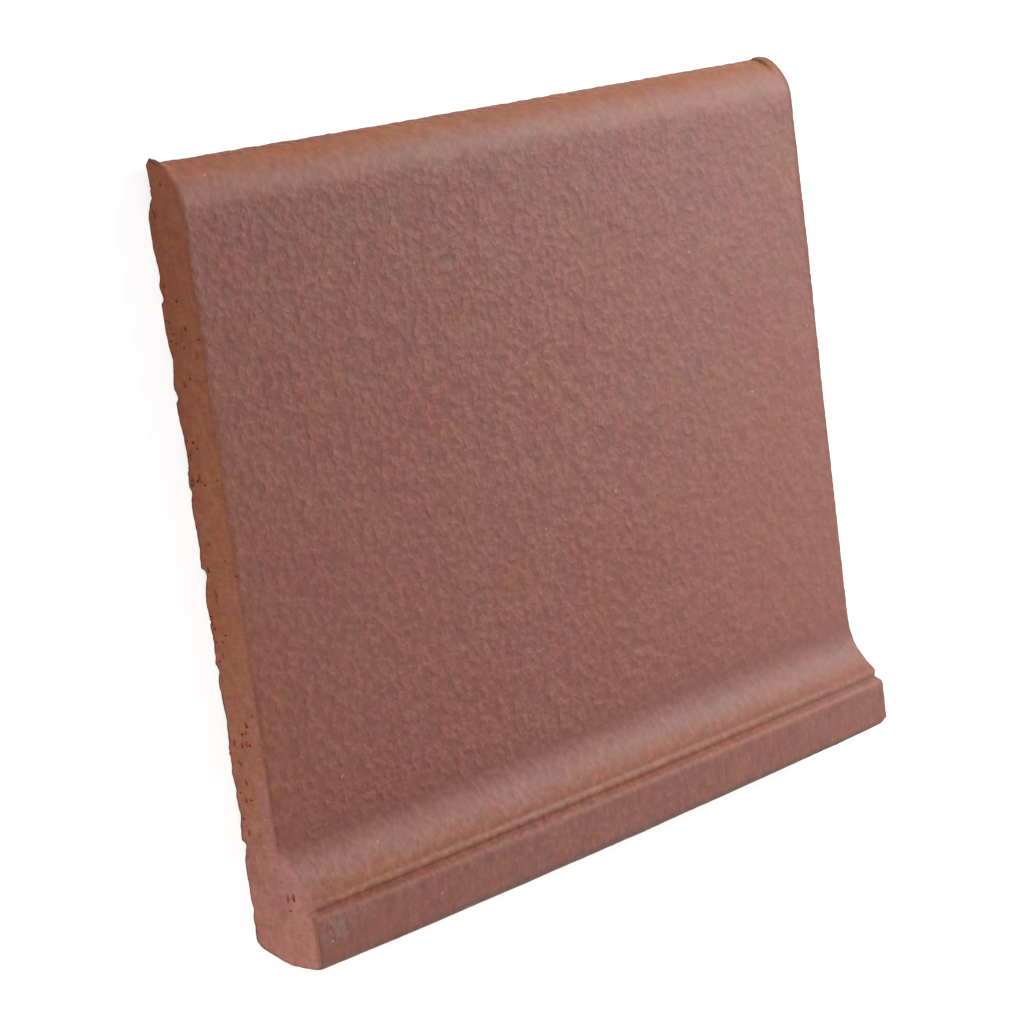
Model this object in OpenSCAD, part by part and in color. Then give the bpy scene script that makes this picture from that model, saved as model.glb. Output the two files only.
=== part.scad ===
// Quarry cove base tile: one fired clay unit, pressed through a die as a long bar and
// wire-cut at both ends. The wall leg rises to a quarter round, and at its foot the face
// sweeps out in a cove to a small lip, a quirk and an upright toe. The back is keyed for
// its bed, and the underside has a level seat with a heel that rises to the back.
//
// Frame, with the tile lying on its keyed back: X along the length, +Y from the foot to
// the rounded top, +Z out of the face. The origin is the middle of the tile's bounding
// box, on the plane of the keys.

/* [Wall leg] */
// Length along the wall, between the cut ends
tile_l = 152.4; // [120:0.1:200]
// Height from the seat to the crown of the rounded top
tile_h = 127; // [105:0.5:160]
// Thickness of the wall leg over the back keys
tile_t = 7.9; // [7:0.1:10]

/* [Rounded top] */
// Radius of the quarter round along the top
round_r = 7.4; // [5:0.1:7.8]
// How far the back is set in behind the crown
crown_back_in = 1; // [0.6:0.1:1.8]
// Height of the part that is set in, measured down from the crown
crown_back_h = 5.2; // [4:0.1:7]
// How much deeper it is undercut at its lower end
crown_undercut = 0.5; // [0:0.1:1]
// Height of the splayed side below it
crown_splay = 3; // [1:0.1:5]

/* [Foot] */
// How far the toe stands out from the face
toe_out = 6.5; // [6:0.1:7.5]
// Height of the toe's upright front
toe_h = 8.4; // [7:0.1:12]
// Rise of the shoulder, from the toe's front back to the quirk
shoulder_rise = 0.75; // [0.4:0.05:1.4]
// Radius of the worn arris between the toe's front and the shoulder
toe_arris_r = 0.9; // [0.3:0.05:1.1]
// Radius of the worn arris along the bottom of the toe
seat_arris_r = 0.7; // [0.3:0.05:1.2]
// How far the lip of the cove stands out from the face
lip_out = 5.1; // [4.6:0.1:5.4]
// Drop from the lip of the cove to the bottom of the quirk
quirk_drop = 1.4; // [1:0.05:1.8]
// How far the quirk is cut in behind the lip
quirk_in = 0.3; // [0.1:0.05:0.5]
// Radius of the lip's rounded edge
lip_r = 0.5; // [0.2:0.05:0.6]
// Radius of the cove between the face and the lip
cove_r = 12; // [9:0.5:16]

/* [Underside] */
// Width of the level seat, back from the toe's front
seat_w = 7.2; // [5:0.1:9]
// Slope of the heel that rises from the seat to the back
heel_slope = 20; // [10:1:28]
// Radius of the heel's back corner
heel_r = 1.2; // [0.6:0.1:2]

/* [Keyed back] */
// Height of the middle of the lowest scallop
key_first = 25.6; // [22:0.1:30]
// Spacing of the scallops, which fill the back from the lowest one up
key_pitch = 14.2; // [13:0.1:18]
// Least plain band above the highest scallop
key_top_band = 2; // [1:0.5:10]
// Mean depth of a scallop
key_depth = 0.5; // [0.3:0.05:0.8]
// Radius of each scallop
key_r = 30; // [20:1:36]
// Mean depth of the nick torn at the lower edge of a scallop
nick_depth = 0.85; // [0.5:0.05:1.1]
// Width of a nick, from its steep side to where it runs out
nick_w = 3.2; // [1.5:0.1:5]
// Height at which the nicks turn over: lower ones run out downwards, higher ones upwards
nick_turn_v = 85; // [0:1:127]
// How unevenly the back was torn, 0 for a regular back
key_wander = 1; // [0:0.1:1.2]

/* [Cut ends] */
// Height of the fin that the wire left on the rounded top at the left end
fin_left = 1.2; // [0.3:0.1:1.5]
// Length of the left fin, along the tile
fin_left_l = 3; // [1:0.1:5]
// Height of the fin at the right end
fin_right = 0.6; // [0.3:0.1:1.2]
// Length of the right fin, along the tile
fin_right_l = 4.4; // [1:0.1:6]
// How far behind the face the fins start
fin_setback = 1.45; // [0.8:0.05:2.5]
// Depth of the chip off the toe's bottom corner at the right end
chip_h = 1.3; // [0.8:0.1:3]
// Length of that chip, along the tile
chip_l = 3.5; // [2:0.5:10]

/* [Hidden] */
$fn = 96;

// How far a cut reaches past the clay
past = 1;
// A worn corner stands this proud, so that its round crosses the two surfaces cleanly
overlap = 0.003;
// How deep the thin end of a fin dives under the round that it grows from
fin_bury = 0.3;
// The steep side of a nick runs this far to either side of the scallop's edge
nick_lead = 0.25;
// Side of the block that takes the chip off
chip_block = 40;

// Heights in the section, from the seat
round_v = tile_h - round_r;
quirk_v = toe_h + shoulder_rise;
lip_v = quirk_v + quirk_drop;
cove_v = lip_v + sqrt(pow(cove_r, 2) - pow(cove_r - lip_out, 2));
crown_back_v = tile_h - crown_back_h;

// Distances out from the plane of the keys
toe_w = tile_t + toe_out;
lip_w = tile_t + lip_out;
quirk_w = lip_w - quirk_in;
heel_w = toe_w - seat_w;
heel_v = heel_w * tan(heel_slope);

// The shoulder's slope, and how far the wall under the lip leans back into the quirk
shoulder_slope = atan2(shoulder_rise, toe_w - quirk_w);
quirk_lean = atan2(quirk_in, quirk_drop);

// The lip's round touches the cove on one side and the leaning wall on the other. Its
// centre is found from the cove's centre, which lies this far along and off that wall.
lip_to_cove = [cove_v - lip_v, tile_t + cove_r - lip_w];
cove_along = -lip_to_cove * [cos(quirk_lean), sin(quirk_lean)];
cove_off = lip_to_cove * [-sin(quirk_lean), cos(quirk_lean)];
lip_along = cove_along + sqrt(pow(cove_r + lip_r, 2) - pow(cove_off + lip_r, 2));
lip_centre = [lip_v, lip_w]
    - lip_along * [cos(quirk_lean), sin(quirk_lean)]
    - lip_r * [-sin(quirk_lean), cos(quirk_lean)];
cove_centre = [cove_v, tile_t + cove_r];
lip_turn = atan2(cove_centre[1] - lip_centre[1], cove_centre[0] - lip_centre[0]);

// The other small rounds touch two straight surfaces each
toe_arris_v = toe_h - toe_arris_r * tan((90 - shoulder_slope) / 2);
heel_centre_v = (heel_r + (heel_w - heel_r) * sin(heel_slope)) / cos(heel_slope);

// The left fin stands above the crown, and ends where the back is set in
fin_rear = tile_t - round_r - crown_back_in;
overall_h = round_v + sqrt(pow(round_r + fin_left, 2) - pow(fin_rear, 2));

// As many keys as fit below the plain band, with room for the widest of them
key_half = sqrt(2 * key_r * key_depth);
key_room = crown_back_v - crown_splay - key_top_band - key_half - key_first;
key_count = floor(key_room / key_pitch) + 1;

// Each key wanders a little from its even place and depth
function key_v(i) = key_first + key_pitch * i + 0.4 * key_wander * sin(i * 137 + 20);
function key_d(i) = key_depth * (1 + 0.25 * key_wander * sin(i * 83 + 40));
function key_reach(i) = sqrt(2 * key_r * key_d(i) - pow(key_d(i), 2));
function nick_d(i) = nick_depth * (1 + 0.5 * key_wander * sin(i * 130 + 80));
function nick_side(i) = key_v(i) < nick_turn_v ? -1 : 1;

// A point at a distance and an angle from a centre
function polar(centre, r, angle) = centre + r * [cos(angle), sin(angle)];

// What wear takes off a corner between two surfaces that face the angles from and to
module worn_corner(centre, r, from, to) {
    half = (to - from) / 2;
    difference() {
        polygon([
            centre, polar(centre, r, from), polar(centre, r / cos(half) + r, from + half),
            polar(centre, r, to)
        ]);
        translate(centre) circle(r + overlap);
    }
}

// Foot before the cove is taken out of it: the toe, the shoulder, the quirk and the lip
module foot_outline() {
    polygon([
        [0, 0], [cove_v, 0], [cove_v, lip_w], [lip_v, lip_w],
        [quirk_v, quirk_w], [toe_h, toe_w], [0, toe_w]
    ]);
}

// What the heel's slope takes off the underside
module heel_waste() {
    polygon([
        [-past, heel_w + past / tan(heel_slope)],
        [heel_v + past * tan(heel_slope), -past],
        [-past, -past]
    ]);
}

// What is taken off the back behind the rounded top, undercut above a splayed side
module crown_back_waste() {
    polygon([
        [crown_back_v - crown_splay, -past], [crown_back_v - crown_splay, 0],
        [crown_back_v, crown_back_in + crown_undercut], [tile_h, crown_back_in],
        [tile_h + past, crown_back_in], [tile_h + past, -past]
    ]);
}

// One scallop of the back, with the nick that the tearing clay left at its lower edge
module key_waste(i) {
    side = nick_side(i);
    translate([key_v(i), key_d(i) - key_r]) circle(key_r);
    translate([key_v(i) - key_reach(i), 0]) polygon([
        [-side * nick_lead, -past], [-side * nick_lead, 0], [side * nick_lead, nick_d(i)],
        [side * nick_w, 0], [side * nick_w, -past]
    ]);
}

// Section of the tile: height from the seat along x, distance out from the keys along y
module tile_section() {
    difference() {
        union() {
            square([tile_h, tile_t]);
            foot_outline();
        }
        translate(cove_centre) circle(cove_r);
        crown_back_waste();
        worn_corner([round_v, tile_t - round_r], round_r, 0, 90);
        worn_corner(lip_centre, lip_r, lip_turn, 90 + quirk_lean);
        worn_corner([toe_arris_v, toe_w - toe_arris_r], toe_arris_r, shoulder_slope, 90);
        worn_corner([seat_arris_r, toe_w - seat_arris_r], seat_arris_r, 90, 180);
        heel_waste();
        worn_corner([heel_centre_v, heel_r], heel_r, 180 + heel_slope, 270);
        for (i = [0 : key_count - 1]) key_waste(i);
    }
}

// Fin of clay dragged up by the wire, thickest at the cut and gone a little way in
module wire_fin(high, long) {
    intersection() {
        translate([0, round_v, tile_t - round_r]) rotate([0, 90, 0])
            cylinder(h = long, r1 = round_r + high, r2 = round_r - fin_bury);
        translate([0, round_v, crown_back_in])
            cube([long, round_r + high + past, tile_t - fin_setback - crown_back_in]);
    }
}

// Waste of the chip: a block whose lower face cuts across the toe's bottom corner
module chip_waste() {
    facing = [1 / chip_l, -1 / chip_h, 1 / chip_h];
    translate([tile_l / 2, 0, toe_w - chip_h])
        rotate([0, acos(facing[2] / norm(facing)), atan2(facing[1], facing[0])])
            translate([-chip_block / 2, -chip_block / 2, 0]) cube(chip_block);
}

module cove_base_tile() {
    color([0.58, 0.40, 0.35])
    translate([0, -overall_h / 2, 0])
    difference() {
        union() {
            translate([-tile_l / 2, 0, 0]) rotate([90, 0, 90])
                linear_extrude(tile_l) tile_section();
            translate([-tile_l / 2, 0, 0]) wire_fin(fin_left, fin_left_l);
            translate([tile_l / 2, 0, 0]) mirror([1, 0, 0]) wire_fin(fin_right, fin_right_l);
        }
        chip_waste();
    }
}

cove_base_tile();
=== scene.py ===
# %% [markdown]
# # Quarry cove base tile
#
# A quarry cove base is one piece of fired clay that finishes the foot of a tiled wall. It is
# pressed through a steel die as a long bar, so its section is the same from end to end, and
# then a wire cuts it to length. The kiln does the rest: it leaves the skin slightly wrinkled,
# and colours it where the fire reached it.
#
# This lesson follows the maker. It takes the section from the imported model, presses a bar
# with it, cuts the ends, gives the clay its skin, its torn back and its pits, and fires it
# with a procedural finish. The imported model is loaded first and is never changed.

# %% Load the frame
import math

import bmesh
import bpy
import numpy as np
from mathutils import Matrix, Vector
from mathutils.bvhtree import BVHTree
from mathutils.geometry import delaunay_2d_cdt


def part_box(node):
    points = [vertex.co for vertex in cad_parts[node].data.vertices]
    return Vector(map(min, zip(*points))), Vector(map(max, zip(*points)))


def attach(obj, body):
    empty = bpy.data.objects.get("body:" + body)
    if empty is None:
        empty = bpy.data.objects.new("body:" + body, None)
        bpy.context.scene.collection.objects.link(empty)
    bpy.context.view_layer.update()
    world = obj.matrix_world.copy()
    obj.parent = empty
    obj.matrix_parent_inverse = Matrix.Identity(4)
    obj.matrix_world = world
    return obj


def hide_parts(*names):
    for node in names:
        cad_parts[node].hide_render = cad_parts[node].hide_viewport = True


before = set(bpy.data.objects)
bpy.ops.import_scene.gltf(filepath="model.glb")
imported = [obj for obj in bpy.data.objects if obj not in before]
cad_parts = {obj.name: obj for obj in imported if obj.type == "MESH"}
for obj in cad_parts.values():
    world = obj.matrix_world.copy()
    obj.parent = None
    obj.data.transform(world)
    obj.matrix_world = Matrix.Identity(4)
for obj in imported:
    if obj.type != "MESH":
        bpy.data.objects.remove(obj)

bpy.context.view_layer.update()
low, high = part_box("cove_base_tile")
MM = 0.001
length, height, depth = (high - low) / MM
print(f"packed tile: {length:.1f} x {height:.1f} x {depth:.1f} mm")

# %% [markdown]
# ## The camera, the floor and the light
#
# A tile is small, so a long lens from half a metre keeps its edges almost parallel. The
# camera looks down on the tile as it lies on its keyed back, and is turned on its side so
# that the rounded top comes at the top of the picture.
#
# The floor is a plain white sheet. The clay meets it as ordinary matt white paper, which
# sends light back up. To the camera most of its white is steady, so that it never turns grey
# with distance, and a thin layer of matt white on top still takes the tile's shadow.

# %% Camera
camera = bpy.data.objects.new("camera", bpy.data.cameras.new("camera"))
bpy.context.scene.collection.objects.link(camera)
camera.location = (-0.39756, 0.08392, 0.36753)
camera.rotation_euler = [math.radians(a) for a in (-1.473, -47.633, -10.893)]
camera.data.lens = 112.12
camera.data.sensor_width = 36
bpy.context.scene.camera = camera
bpy.context.scene.view_settings.view_transform = "Standard"

# %% Helpers for node trees


def add(tree, kind, inputs=None, **settings):
    """One node, its settings, and its inputs: a socket is linked, anything else is a value."""
    node = tree.nodes.new(kind)
    for name, value in settings.items():
        setattr(node, name, value)
    for key, value in (inputs or {}).items():
        if isinstance(value, bpy.types.NodeSocket):
            tree.links.new(value, node.inputs[key])
        else:
            node.inputs[key].default_value = value
    return node


def maths(tree):
    """A short way to write sums in one tree: m("ADD", a, b)."""

    def m(operation, a, b=0.0, clamp=False):
        node = add(tree, "ShaderNodeMath", {0: a, 1: b}, operation=operation)
        node.use_clamp = clamp
        return node.outputs[0]

    return m


def new_material(name):
    """An empty material: its tree, and the output that the shader goes to."""
    material = bpy.data.materials.new(name)
    material.use_nodes = True
    material.node_tree.nodes.clear()
    out = add(material.node_tree, "ShaderNodeOutputMaterial")
    return material, material.node_tree, out.inputs["Surface"]


# %% Floor
floor_half = 3.0
matt_white, matt_seen, steady_seen = 0.8, 0.45, 0.8


def seen_directly(tree):
    """1 for what the camera or a mirror sees, 0 for what only lights the clay."""
    path = add(tree, "ShaderNodeLightPath").outputs
    return maths(tree)("MAXIMUM", path["Is Camera Ray"], path["Is Glossy Ray"])


corners = ((-1, -1), (1, -1), (1, 1), (-1, 1))
floor_mesh = bpy.data.meshes.new("floor")
floor_mesh.from_pydata(
    [(x * floor_half, y * floor_half, 0) for x, y in corners], [], [(0, 1, 2, 3)])
floor = bpy.data.objects.new("floor", floor_mesh)
bpy.context.scene.collection.objects.link(floor)

paper, tree, surface = new_material("white_floor")
m = maths(tree)
seen = seen_directly(tree)
white = m("SUBTRACT", matt_white, m("MULTIPLY", seen, matt_white - matt_seen))
matt = add(tree, "ShaderNodeBsdfDiffuse", {"Color": white})
steady = add(tree, "ShaderNodeEmission", {
    "Color": (1, 1, 1, 1), "Strength": m("MULTIPLY", seen, steady_seen)})
layers = add(tree, "ShaderNodeAddShader", {0: matt.outputs[0], 1: steady.outputs[0]})
tree.links.new(layers.outputs[0], surface)
floor_mesh.materials.append(paper)

# %% Light
fill = 0.40
world = bpy.data.worlds.new("studio")
bpy.context.scene.world = world
world.use_nodes = True
world.node_tree.nodes.clear()
m = maths(world.node_tree)
strength = m("ADD", fill, m("MULTIPLY", seen_directly(world.node_tree), 1.0 - fill))
sky = add(world.node_tree, "ShaderNodeBackground", {"Color": (1, 1, 1, 1), "Strength": strength})
out = add(world.node_tree, "ShaderNodeOutputWorld")
world.node_tree.links.new(sky.outputs[0], out.inputs["Surface"])


def soft_box(name, place, aim, size, watts):
    """A square area lamp at a place, turned to an aim, both in metres."""
    lamp = bpy.data.lights.new(name, "AREA")
    lamp.shape = "SQUARE"
    lamp.size = size
    lamp.energy = watts
    holder = bpy.data.objects.new(name, lamp)
    holder.location = place
    holder.rotation_euler = (Vector(aim) - Vector(place)).to_track_quat("-Z", "Y").to_euler()
    bpy.context.scene.collection.objects.link(holder)


soft_box("key_light", place=(0.30, 0.17, 0.27), aim=(0.02, 0, 0), size=0.22, watts=1.5)
soft_box("low_light", place=(-0.32, -0.28, 0.07), aim=(-0.07, -0.05, 0.01), size=0.16, watts=0.60)

# %% [markdown]
# ## The section that the die gives
#
# Every slice across a pressed bar is the same, so one slice holds the whole shape: the
# quarter round, the face, the cove, its lip and quirk, the toe, the level seat, the heel
# and the keyed back. The slice could be typed in again as numbers. It is cut from a copy
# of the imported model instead, so that it always agrees with it.
#
# The slice is a closed line of many short edges. It is kept exact at its corners. Between
# them it is walked again in even steps, small ones on the face that people see and larger
# ones on the back, and lightly smoothed, as clay is when it leaves the die.

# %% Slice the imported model
packed = bmesh.new()
packed.from_mesh(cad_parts["cove_base_tile"].data)
bmesh.ops.remove_doubles(packed, verts=packed.verts, dist=1e-6)
packed_tree = BVHTree.FromBMesh(packed)
slice_mesh = packed.copy()
bmesh.ops.bisect_plane(
    slice_mesh,
    geom=slice_mesh.verts[:] + slice_mesh.edges[:] + slice_mesh.faces[:],
    plane_co=(0, 0, 0), plane_no=(1, 0, 0), clear_inner=True, clear_outer=True,
)
start = min(slice_mesh.verts, key=lambda v: v.co.y + v.co.z)
line, before, here = [start], None, start
while True:
    ahead = [e.other_vert(here) for e in here.link_edges]
    after = ahead[0] if ahead[0] is not before else ahead[1]
    if after is start:
        break
    line.append(after)
    before, here = here, after
section = np.array([(v.co.y, v.co.z) for v in line]) / MM
slice_mesh.free()


def area_of(points):
    """Area inside a closed line, positive when it runs anticlockwise."""
    y, z = points[:, 0], points[:, 1]
    return 0.5 * float(np.sum(y * np.roll(z, -1) - np.roll(y, -1) * z))


if area_of(section) < 0:
    section = section[::-1]
print(f"section: {len(section)} points, {area_of(section):.0f} mm2")

# %% How long the steps are on each surface
seat_y, crown_y = section[:, 0].min(), section[:, 0].max()
top_part, foot_part = 9.0, 22.0
step_on = {
    "torn back": 0.45, "set-back": 0.85, "seat": 0.8,
    "lip and quirk": 0.3, "foot and round": 0.48, "face": 0.56,
}


def surface_at(y, z):
    """The name of the surface at a place on the section."""
    up = y - seat_y
    if z < 3.0 and up > 3:
        return "torn back" if y < crown_y - top_part else "set-back"
    if z < 13.0 and up < 2:
        return "seat"
    if z > 10.0 and 7.5 < up < 12:
        return "lip and quirk"
    if up < foot_part or y > crown_y - top_part:
        return "foot and round"
    return "face"


print(f"step on the face {step_on['face']} mm, on the lip {step_on['lip and quirk']} mm")

# %% Find the corners, and walk from each to the next
corner_turn = 25.0
hollow_z, past_heel, below_crown = 2, 6, 8


def corners_of(points):
    """Indices where a closed line turns sharply, but for the hollows of the torn back."""
    run = np.roll(points, -1, 0) - points
    heading = np.degrees(np.arctan2(run[:, 1], run[:, 0]))
    turn = (heading - np.roll(heading, 1) + 180) % 360 - 180
    y, z = points.T
    soft = (z < hollow_z) & (y > seat_y + past_heel) & (y < crown_y - below_crown)
    return np.nonzero((turn > corner_turn) | ((turn < -corner_turn) & ~soft))[0].tolist()


def walk(points, fine_step=0.03, smoothing_rounds=3):
    """A stretch between two corners, in the steps of step_on, its ends kept."""
    run = np.hypot(*np.diff(points, axis=0).T)
    along = np.concatenate([[0], np.cumsum(run)])
    fine = np.linspace(0, along[-1], max(2, int(along[-1] / fine_step)))
    y, z = np.interp(fine, along, points[:, 0]), np.interp(fine, along, points[:, 1])
    steps = np.array([1 / step_on[surface_at(*p)] for p in zip(y, z)])
    count = np.concatenate([[0], np.cumsum((steps[1:] + steps[:-1]) / 2 * np.diff(fine))])
    whole = max(1, round(count[-1]))
    at = np.interp(np.linspace(0, count[-1], whole + 1), count, fine)
    out = np.stack([np.interp(at, fine, y), np.interp(at, fine, z)], 1)
    for _ in range(smoothing_rounds):
        out[1:-1] = (out[:-2] + 2 * out[1:-1] + out[2:]) / 4
    return out


marks = corners_of(section)
stretches = []
for a, b in zip(marks, marks[1:] + [marks[0] + len(section)]):
    stretch = section[[i % len(section) for i in range(a, b + 1)]]
    stretches.append(walk(stretch)[:-1])
die = np.concatenate(stretches)
print(f"die line: {len(marks)} corners, {len(die)} points, {area_of(die):.0f} mm2")

# %% [markdown]
# ## The face that the wire leaves
#
# The wire cuts a flat face with the outline of the section. One polygon with hundreds of
# corners would be flat for good, and this face needs pits and drag marks. So points are
# laid inside the outline on a triangular grid, each nudged a little, and Blender's
# Delaunay routine joins them and the outline into even triangles.

# %% Triangles inside the outline
spacing, row_share, nudge, clear_of_rim = 0.62, 0.866, 0.16, 0.5


def inside(points, outline):
    """Which points lie inside a closed line."""
    odd = np.zeros(len(points), bool)
    for (y0, z0), (y1, z1) in zip(outline, np.roll(outline, -1, 0)):
        spans = (z0 > points[:, 1]) != (z1 > points[:, 1])
        if spans.any():
            crossing = (y1 - y0) * (points[:, 1] - z0) / (z1 - z0 + 1e-12) + y0
            odd ^= spans & (points[:, 0] < crossing)
    return odd


rng = np.random.default_rng(11)
rows = np.arange(die[:, 1].min(), die[:, 1].max(), spacing * row_share)
columns = np.arange(die[:, 0].min(), die[:, 0].max(), spacing)
grid = np.array([(y + (r % 2) * spacing / 2, z) for r, z in enumerate(rows) for y in columns])
grid += rng.uniform(-nudge, nudge, grid.shape) * spacing
grid = grid[inside(grid, die)]
gap = np.min(np.hypot(grid[:, None, 0] - die[None, :, 0], grid[:, None, 1] - die[None, :, 1]), 1)
grid = grid[gap > spacing * clear_of_rim]
rim = len(die)
points = [Vector(p) for p in np.concatenate([die, grid])]
points, _, triangles, *_ = delaunay_2d_cdt(points, [], [list(range(rim))], 1, 1e-9)
print(f"cut face: {len(points)} points, {len(triangles)} triangles")


def new_object(name, verts, edges=(), faces=()):
    """A mesh object in the scene from plain lists, in mm."""
    mesh = bpy.data.meshes.new(name)
    mesh.from_pydata([tuple(c * MM for c in v) for v in verts], edges, faces)
    obj = bpy.data.objects.new(name, mesh)
    bpy.context.scene.collection.objects.link(obj)
    return obj


cut_face = new_object("cut_face", [(0, *p) for p in points], [], triangles)
bar = new_object(
    "fired_tile", [(0, *p) for p in die], [(i, (i + 1) % rim) for i in range(rim)]
)

# %% [markdown]
# ## Pressing the bar
#
# A shape that follows a rule suits Geometry Nodes. Here the rule is: a grid of points, in
# which each row keeps its place along the bar and each column takes its place on the die
# line. The two cut faces are joined on, one of them turned over, and the seams are merged
# into one closed skin. Curve to Mesh could sweep the same line, but its caps are single
# polygons, and this way the sides and the ends share their points exactly.

# %% Helper: a geometry tree with named inputs


def new_tree(name, wanted):
    """A Geometry Nodes tree with named inputs; gives the tree, its input node and maths."""
    tree = bpy.data.node_groups.new(name, "GeometryNodeTree")
    faces = tree.interface
    faces.new_socket("Geometry", in_out="INPUT", socket_type="NodeSocketGeometry")
    faces.new_socket("Geometry", in_out="OUTPUT", socket_type="NodeSocketGeometry")
    for label, kind in wanted.items():
        faces.new_socket(label, in_out="INPUT", socket_type="NodeSocket" + kind)
    return tree, add(tree, "NodeGroupInput").outputs, maths(tree)


def close_tree(tree, geometry, material):
    """Ends a tree in Realize Instances and Set Material."""
    real = add(tree, "GeometryNodeRealizeInstances", {0: geometry})
    made = add(tree, "GeometryNodeSetMaterial", {0: real.outputs[0], "Material": material})
    out = add(tree, "NodeGroupOutput")
    tree.links.new(made.outputs[0], out.inputs[0])


def put_modifier(obj, tree, values):
    """A Geometry Nodes modifier on an object, each input set by its socket's identifier."""
    modifier = obj.modifiers.new(tree.name, "NODES")
    modifier.node_group = tree
    for item in tree.interface.items_tree:
        if item.item_type == "SOCKET" and item.in_out == "INPUT" and item.name in values:
            modifier[item.identifier] = values[item.name]


def settle(obj):
    """Turns an object and its modifiers into a plain mesh."""
    view = bpy.context.evaluated_depsgraph_get()
    made = bpy.data.meshes.new_from_object(obj.evaluated_get(view), depsgraph=view)
    obj.modifiers.clear()
    obj.data = made


# %% The tree that presses and cuts
clay, clay_nodes, clay_surface = new_material("fired_quarry_clay")
press, given, m = new_tree(
    "press_and_cut", {"Cut face": "Object", "Length": "Float", "Slices": "Int"}
)
count = add(press, "GeometryNodeAttributeDomainSize", {0: given["Geometry"]}).outputs[0]
sheet = add(press, "GeometryNodeMeshGrid", {
    "Size X": given["Length"], "Size Y": 1.0,
    "Vertices X": given["Slices"], "Vertices Y": m("ADD", count, 1),
})
index = add(press, "GeometryNodeInputIndex").outputs[0]
row = m("MODULO", m("MODULO", index, m("ADD", count, 1)), count)
place = add(press, "GeometryNodeInputPosition").outputs[0]
on_die = add(press, "GeometryNodeSampleIndex", {
    "Geometry": given["Geometry"], "Value": place, "Index": row,
}, data_type="FLOAT_VECTOR").outputs[0]
along = add(press, "ShaderNodeSeparateXYZ", {0: place}).outputs["X"]
parts = add(press, "ShaderNodeSeparateXYZ", {0: on_die}).outputs
sides = add(press, "GeometryNodeSetPosition", {
    0: sheet.outputs[0],
    "Position": add(press, "ShaderNodeCombineXYZ", {
        "X": along, "Y": parts["Y"], "Z": parts["Z"]}).outputs[0],
})
sides = add(press, "GeometryNodeFlipFaces", {0: sides.outputs[0]})
face = add(press, "GeometryNodeObjectInfo", {"Object": given["Cut face"]})
to_right = m("MULTIPLY", given["Length"], 0.5)
right = add(press, "GeometryNodeTransform", {
    0: face.outputs["Geometry"],
    "Translation": add(press, "ShaderNodeCombineXYZ", {"X": to_right}).outputs[0]})
left = add(press, "GeometryNodeTransform", {
    0: add(press, "GeometryNodeFlipFaces", {0: face.outputs["Geometry"]}).outputs[0],
    "Translation": add(press, "ShaderNodeCombineXYZ", {
        "X": m("MULTIPLY", to_right, -1)}).outputs[0]})
whole = add(press, "GeometryNodeJoinGeometry")
for part in (sides, right, left):
    press.links.new(part.outputs[0], whole.inputs[0])
closed = add(press, "GeometryNodeMergeByDistance", {0: whole.outputs[0], "Distance": 2e-6})
close_tree(press, closed.outputs[0], clay)

# %% Press the bar
slice_step = 0.58
slices = round(length / slice_step) + 1
put_modifier(bar, press, {"Cut face": cut_face, "Length": length * MM, "Slices": slices})
settle(bar)
bpy.data.objects.remove(cut_face)


def report(obj, step):
    """Prints how many triangles a mesh has, whether it is closed, and its volume."""
    shape = bmesh.new()
    shape.from_mesh(obj.data)
    loose = sum(not e.is_manifold for e in shape.edges)
    count = sum(len(f.verts) - 2 for f in shape.faces)
    volume = shape.calc_volume(signed=True) / MM ** 3
    shape.free()
    print(f"{step}: {count} triangles, {loose} open edges, {volume:.0f} mm3")


report(bar, "pressed bar")

# %% [markdown]
# ## Fins and the chip
#
# The wire does not leave a clean end. On the rounded top it drags up a thin fin at each
# end, and the toe's far bottom corner has lost a chip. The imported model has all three, so
# the bar takes them from it: near its ends, each point of the rounded top slides outwards
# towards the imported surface, and each point that stands proud of the chip drops onto it. The
# left fin is a ragged wedge. The right one is a blunt roll of clay that rises in one step, and
# the slice just inside it is drawn up to its foot, which keeps that step sharp.

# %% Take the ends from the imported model


def ramp(value, start, end):
    """0 at start, 1 at end, smooth between them."""
    t = np.clip((value - start) / (end - start), 0, 1)
    return t * t * (3 - 2 * t)


shape = bar.data
shape_points = np.empty(len(shape.vertices) * 3, np.float32)
shape.vertices.foreach_get("co", shape_points)
shape_points = shape_points.reshape(-1, 3) / MM
half = length / 2
face_z, round_r = 7.9, 7.4
round_centre = Vector((0, crown_y - round_r, face_z - round_r))
fin_reach, chip_reach = 4.4, 4.6
set_back_z, on_skin, outside, least_proud = 1.5, 0.25, 12, 0.02
roll_start, roll_rise, roll_foot = 2.6, 0.5, 0.6
fins = chips = 0
for i, (x, y, z) in enumerate(shape_points):
    hub = Vector((x * 0.99999, round_centre.y, round_centre.z))
    way = Vector((hub.x, y, z)) - hub
    on_round = y > hub.y and z > set_back_z and way.length > round_r - on_skin
    if half - abs(x) < fin_reach and on_round:
        hit = packed_tree.ray_cast((hub + way.normalized() * outside) * MM, -way)[0]
        proud = (hit / MM - hub).length - way.length if hit else 0
        rise = 0
        if x < 0 and proud > least_proud:
            rise = proud * ramp(z, 6.9, 3.0) * (0.8 + 0.2 * math.sin(z * 7.1 + x * 2.3))
        elif half - roll_start < x:
            rise = roll_rise * ramp(z, 7.2, 3.2)
        elif half - roll_start - roll_foot < x and z < 6.5:
            shape_points[i, 0] = half - roll_start - 0.05
        if rise > 0:
            tip = hub + way * (1 + rise / way.length)
            shape_points[i, 1:] = (tip.y, tip.z)
            fins += 1
    elif half - x < chip_reach and y < seat_y + 2.5 and z > 11:
        near, way, _, gap = packed_tree.find_nearest(Vector((x, y, z)) * MM)
        if (Vector((x, y, z)) * MM - near).dot(way) > 1e-5:
            shape_points[i] = near / MM
            chips += 1
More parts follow.
